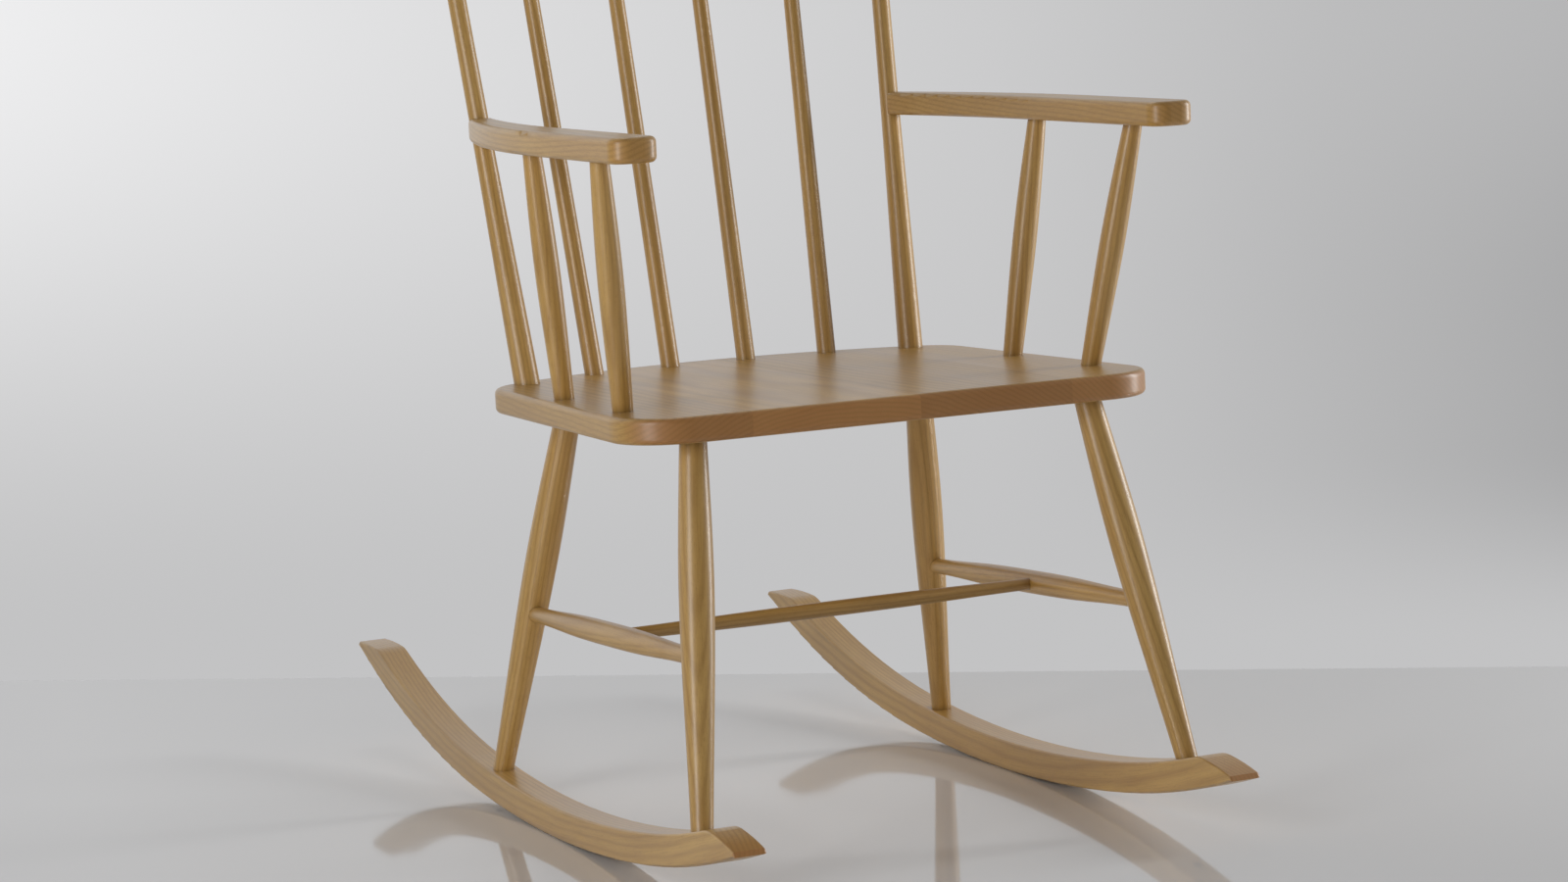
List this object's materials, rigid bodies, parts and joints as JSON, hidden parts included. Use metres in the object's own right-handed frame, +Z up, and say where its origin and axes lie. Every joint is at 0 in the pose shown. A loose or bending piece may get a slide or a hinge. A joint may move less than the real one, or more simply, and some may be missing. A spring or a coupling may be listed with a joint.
{
  "type": "rocking chair",
  "caption": "Spindle-back wooden rocking armchair with a flat board seat, turned splayed legs, stretchers and long curved rockers.",
  "frame": {"origin": "on the floor under the middle of the rockers' length, on the chair's middle plane", "axes": "+X to the viewer's right in a front view, which is the sitter's left; -Y the way the sitter faces; +Z up"},
  "size_m": [0.555, 0.976, 1.0947],
  "materials": {
    "beech_seat": "satin",
    "beech_rocker": "satin",
    "beech_under_frame": "satin",
    "beech_uprights": "satin",
    "beech_arms": "satin",
    "beech_crest": "satin",
    "screw_steel": "satin"
  },
  "bodies": {
    "root": {"arm_screw_plugs": "beech_uprights", "arm_screws": "screw_steel", "centre_stretcher": "beech_under_frame", "crest_pins": "beech_crest", "crest_rail": "beech_crest", "left_arm": "beech_arms", "left_back_post": "beech_uprights", "left_front_arm_spindle": "beech_uprights", "left_front_leg": "beech_under_frame", "left_inner_spindle": "beech_uprights", "left_outer_spindle": "beech_uprights", "left_rear_arm_spindle": "beech_uprights", "left_rear_leg": "beech_under_frame", "left_rocker": "beech_rocker", "left_side_stretcher": "beech_under_frame", "right_arm": "beech_arms", "right_back_post": "beech_uprights", "right_front_arm_spindle": "beech_uprights", "right_front_leg": "beech_under_frame", "right_inner_spindle": "beech_uprights", "right_outer_spindle": "beech_uprights", "right_rear_arm_spindle": "beech_uprights", "right_rear_leg": "beech_under_frame", "right_rocker": "beech_rocker", "right_side_stretcher": "beech_under_frame", "rocker_screws": "screw_steel", "seat_stave_centre_left": "beech_seat", "seat_stave_centre_right": "beech_seat", "seat_stave_left": "beech_seat", "seat_stave_right": "beech_seat"}
  },
  "joints": []
}
